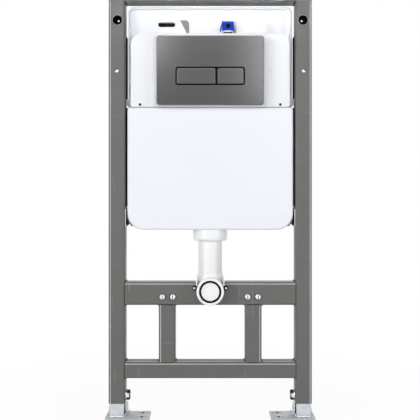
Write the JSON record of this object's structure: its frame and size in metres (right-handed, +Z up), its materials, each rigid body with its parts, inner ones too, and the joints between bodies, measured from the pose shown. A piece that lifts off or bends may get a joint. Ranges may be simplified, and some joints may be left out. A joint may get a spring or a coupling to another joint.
{
  "type": "wall hung toilet frame",
  "caption": "Steel wall-hung toilet frame with a concealed cistern, press-button flush plate, flush bend, pan studs and telescopic feet.",
  "frame": {"origin": "on the floor under the middle of the object's box", "axes": "+X to the right seen from the front, +Y from the front towards the wall behind, +Z up"},
  "size_m": [0.504, 0.1368, 1.012],
  "materials": {
    "frame_paint": "satin grey powder coat",
    "cap_grey": "moulded grey plastic",
    "zinc": "bright zinc plate",
    "cistern_white": "blow-moulded white plastic, slightly blue",
    "panel_white": "moulded white plastic",
    "pipe_white": "smooth white plastic",
    "plate_grey": "dark grey brushed metal",
    "button_grey": "dark grey brushed metal",
    "carrier_black": "black moulded plastic",
    "valve_blue": "royal blue moulded plastic",
    "seal_black": "black rubber",
    "clip_black": "black moulded plastic"
  },
  "bodies": {
    "frame": {"top_rail": "frame_paint", "lower_rail": "frame_paint", "cistern": "cistern_white", "front_panel": "panel_white", "access_shaft": "panel_white", "flush_plate": "plate_grey", "button_carrier": "carrier_black", "slotted_hood": "panel_white", "inlet_housing": "panel_white", "inlet_valve": "valve_blue", "inlet_nut": "pipe_white", "inlet_washer": "seal_black", "outlet_collar": "pipe_white", "flush_pipe": "pipe_white", "outlet_elbow": "pipe_white", "outlet_seal": "seal_black", "outlet_plug": "pipe_white", "pipe_clip": "clip_black", "clip_screws": "zinc", "left_post": "frame_paint", "left_post_cap": "cap_grey", "left_bolt_rail": "frame_paint", "left_strut": "frame_paint", "left_pan_studs": "zinc", "left_tank_bracket": "frame_paint", "left_lock_bolt": "zinc", "right_post": "frame_paint", "right_post_cap": "cap_grey", "right_bolt_rail": "frame_paint", "right_strut": "frame_paint", "right_pan_studs": "zinc", "right_tank_bracket": "frame_paint", "right_lock_bolt": "zinc"},
    "left_foot": {"left_leg": "zinc", "left_foot_plate": "zinc", "left_foot_screw": "zinc"},
    "right_foot": {"right_leg": "zinc", "right_foot_plate": "zinc", "right_foot_screw": "zinc"},
    "full_button": {"full_flush_button": "button_grey"},
    "half_button": {"half_flush_button": "button_grey"}
  },
  "joints": [
    {"name": "left_leg_slide", "type": "slide", "parent": "frame", "child": "left_foot", "axis": [0, 0, -1], "range_m": [0, 0.2]},
    {"name": "right_leg_slide", "type": "slide", "parent": "frame", "child": "right_foot", "axis": [0, 0, -1], "range_m": [0, 0.2]},
    {"name": "full_button_press", "type": "slide", "parent": "frame", "child": "full_button", "axis": [0, 1, 0], "range_m": [0, 0.005], "stiffness_N_per_m": 400, "springref_m": -0.003},
    {"name": "half_button_press", "type": "slide", "parent": "frame", "child": "half_button", "axis": [0, 1, 0], "range_m": [0, 0.005], "stiffness_N_per_m": 400, "springref_m": -0.003}
  ]
}
